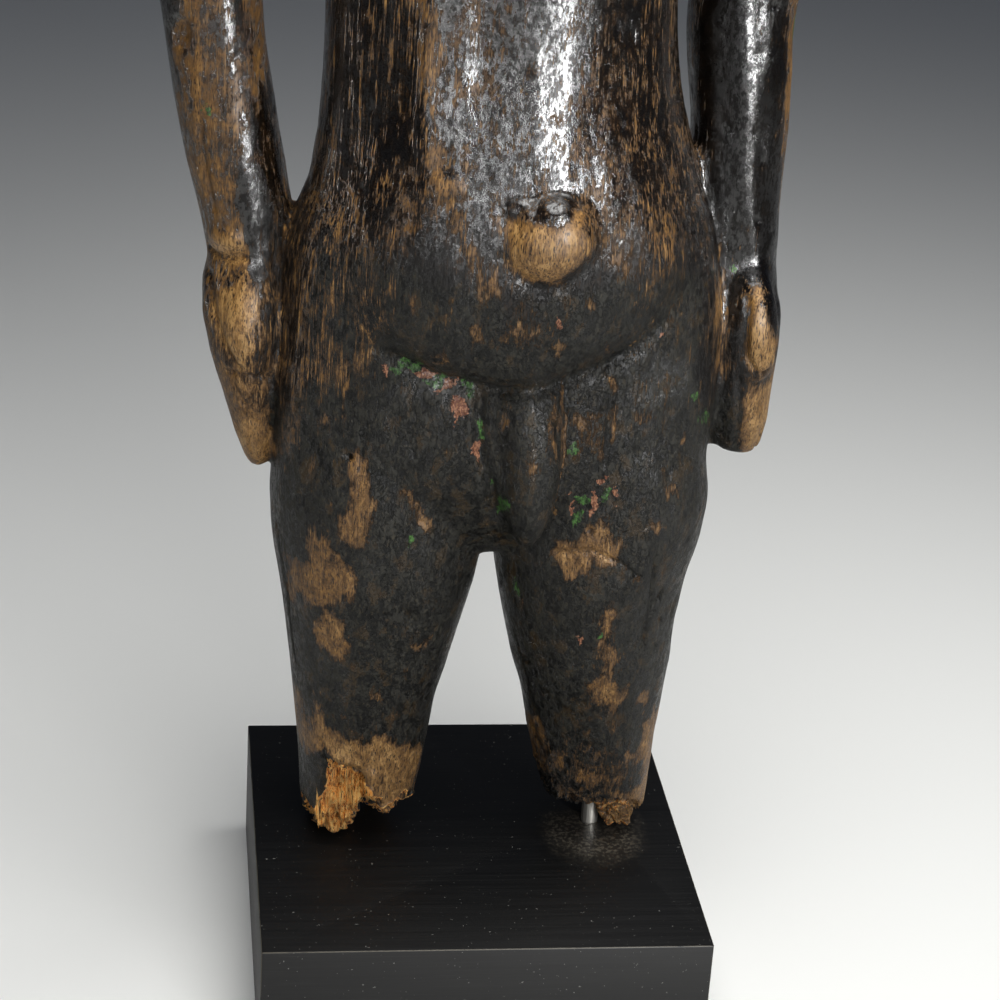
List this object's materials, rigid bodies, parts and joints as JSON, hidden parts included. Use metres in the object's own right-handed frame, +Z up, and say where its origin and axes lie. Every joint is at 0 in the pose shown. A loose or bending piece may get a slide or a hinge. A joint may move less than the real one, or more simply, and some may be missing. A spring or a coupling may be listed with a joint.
{
  "type": "carved standing figure on a block",
  "caption": "Carved wooden standing figure with arms at its sides and broken lower legs, held by a steel pin over a black wooden block.",
  "frame": {"origin": "middle of the block's underside", "axes": "+Z up along the figure's height, the figure faces -Y, +X to the right of someone facing it"},
  "size_m": [0.2143, 0.15, 0.56],
  "materials": {
    "figure": "blackened and worn over golden-brown wood, partly glossy",
    "mounting_pin": "bright satin",
    "base": "black satin stain with fine grain"
  },
  "bodies": {
    "root": {"figure": "figure", "mounting_pin": "mounting_pin", "base": "base"}
  },
  "joints": []
}
